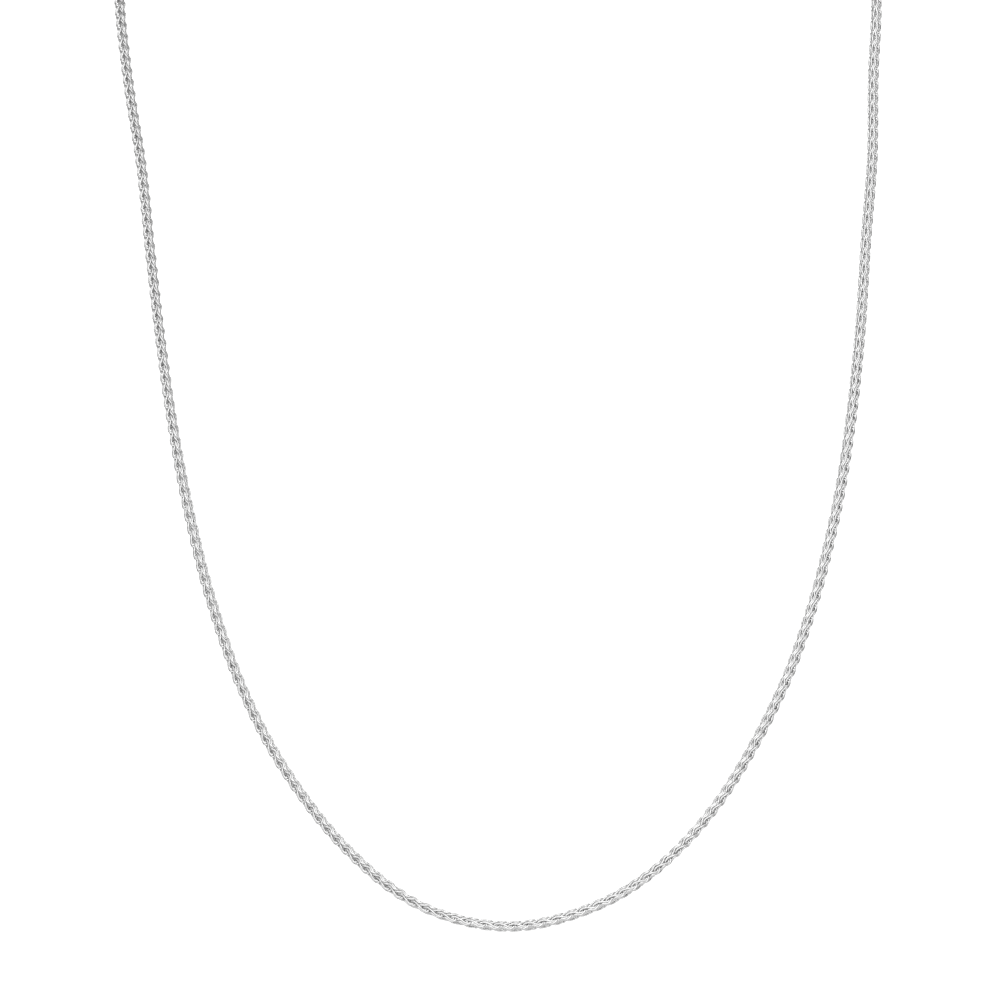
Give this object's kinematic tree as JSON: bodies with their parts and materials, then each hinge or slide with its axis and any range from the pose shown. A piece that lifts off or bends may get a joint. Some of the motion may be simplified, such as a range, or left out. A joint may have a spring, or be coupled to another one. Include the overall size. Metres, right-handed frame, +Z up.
{
  "type": "wheat chain necklace",
  "caption": "Round wheat chain necklace in polished silver, a whole fastened loop hanging as round a neck, with end caps and a ring clasp at the nape.",
  "frame": {"origin": "the nape: the middle of the clasp's ring, where the loop hangs on the neck", "axes": "+Z up, the front of the necklace faces -Y, X across the neck with the wearer's left at +X"},
  "size_m": [0.1119, 0.1062, 0.152],
  "materials": {
    "silver": "polished sterling silver"
  },
  "bodies": {
    "root": {"chain": "silver", "end_cap_left": "silver", "end_cap_right": "silver", "clasp": "silver"}
  },
  "joints": []
}
